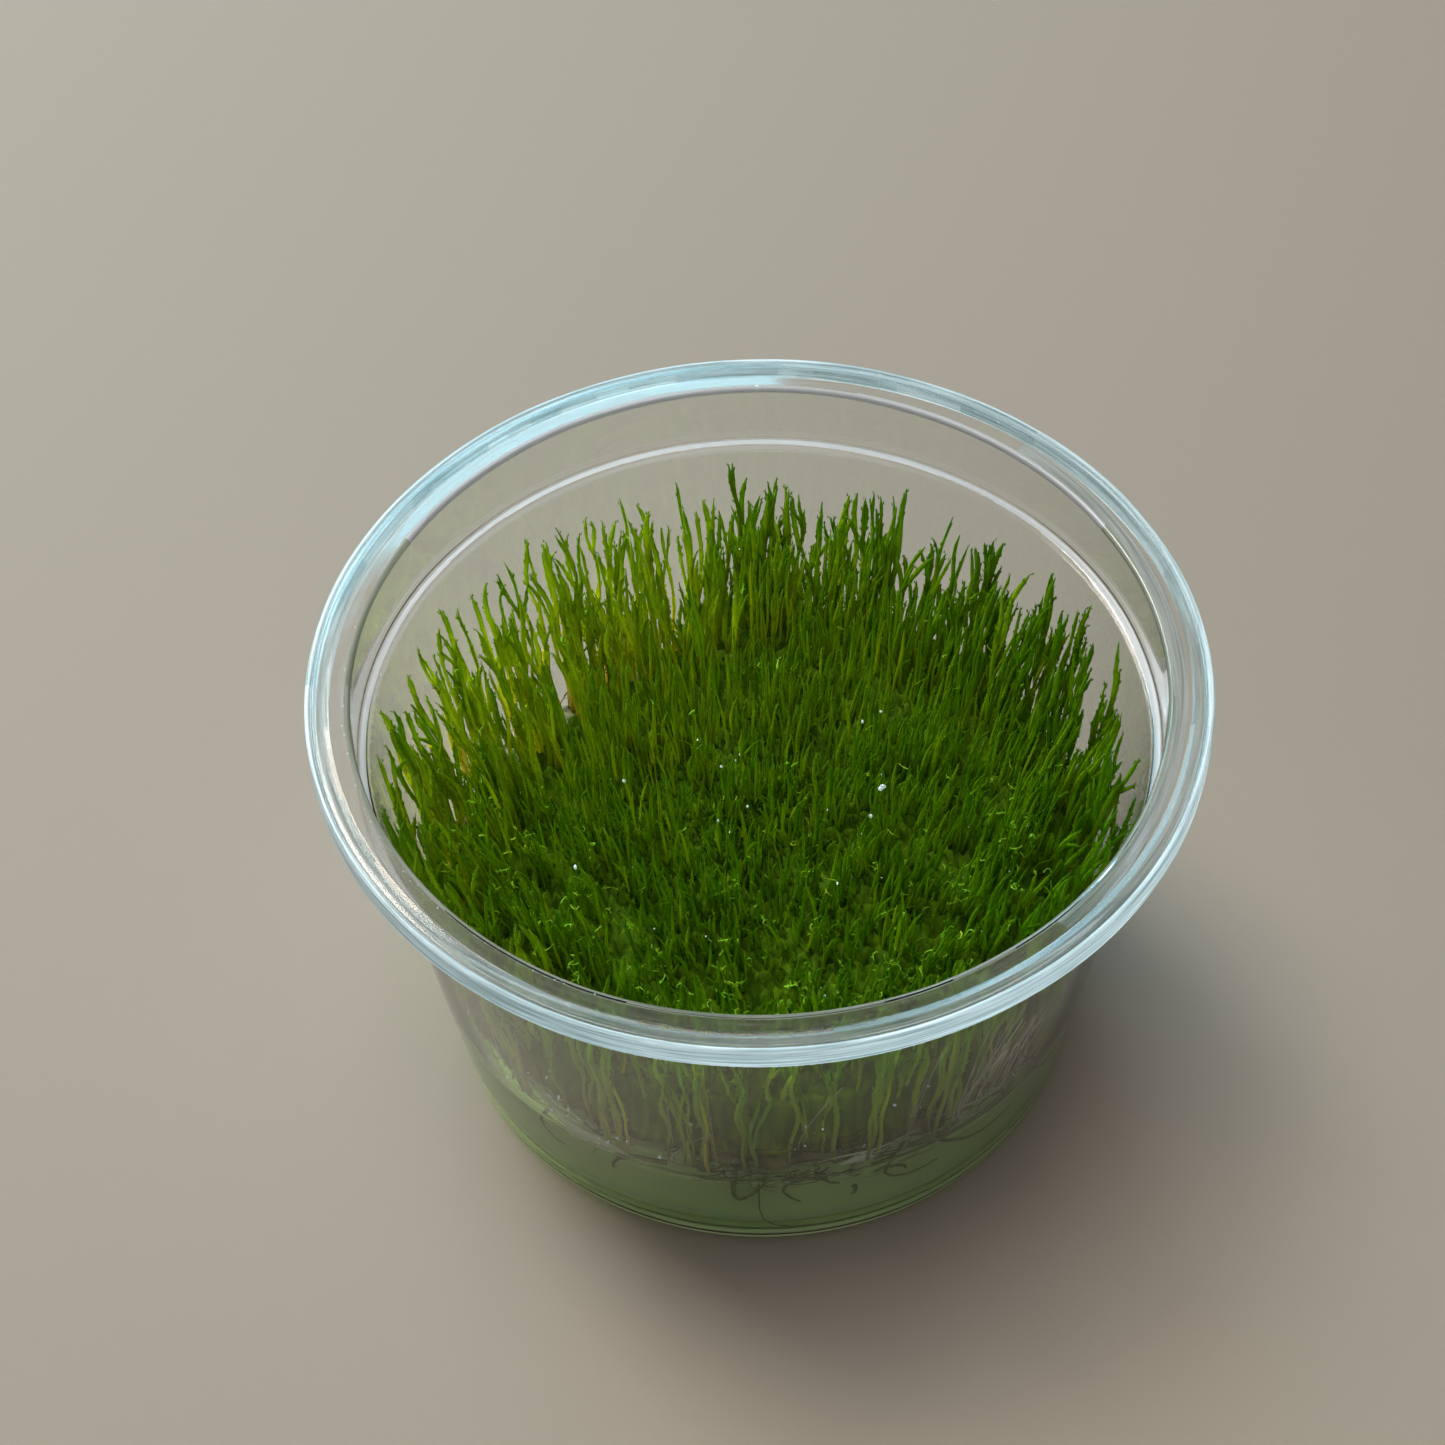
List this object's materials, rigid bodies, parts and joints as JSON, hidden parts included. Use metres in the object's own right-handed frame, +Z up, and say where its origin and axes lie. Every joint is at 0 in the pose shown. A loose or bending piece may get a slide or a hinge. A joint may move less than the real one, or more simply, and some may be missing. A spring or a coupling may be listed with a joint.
{
  "type": "moss clump in a culture cup",
  "caption": "Clump of thread-like green moss standing on a layer of clear agar gel in a small open plastic culture cup.",
  "frame": {"origin": "centre of the cup's foot ring, on the surface that it stands on", "axes": "+Z up along the cup's axis; -Y is the side nearest the camera in the picture"},
  "size_m": [0.08, 0.08, 0.0456],
  "materials": {
    "clear_plastic": "clear and glossy, with a lightly frosted ring on the rim",
    "agar_gel": "wet, hazy pale green gel",
    "moss_base": "wet felted brown stems",
    "moss_green": "moist green shoots, olive at the foot and brighter at the leaves"
  },
  "bodies": {
    "root": {"cup": "clear_plastic", "gel": "agar_gel", "moss_mat": "moss_base", "moss_tuft_01": "moss_green", "moss_tuft_02": "moss_green", "moss_tuft_03": "moss_green", "moss_tuft_04": "moss_green", "moss_tuft_05": "moss_green", "moss_tuft_06": "moss_green", "moss_tuft_07": "moss_green", "moss_tuft_08": "moss_green", "moss_tuft_09": "moss_green", "moss_tuft_10": "moss_green", "moss_tuft_11": "moss_green", "moss_tuft_12": "moss_green", "moss_tuft_13": "moss_green", "moss_tuft_14": "moss_green", "moss_tuft_15": "moss_green", "moss_tuft_16": "moss_green", "moss_tuft_17": "moss_green", "moss_tuft_18": "moss_green", "moss_tuft_19": "moss_green", "moss_tuft_20": "moss_green", "moss_tuft_21": "moss_green", "moss_tuft_22": "moss_green", "moss_tuft_23": "moss_green", "moss_tuft_24": "moss_green", "moss_tuft_25": "moss_green", "moss_tuft_26": "moss_green"}
  },
  "joints": []
}
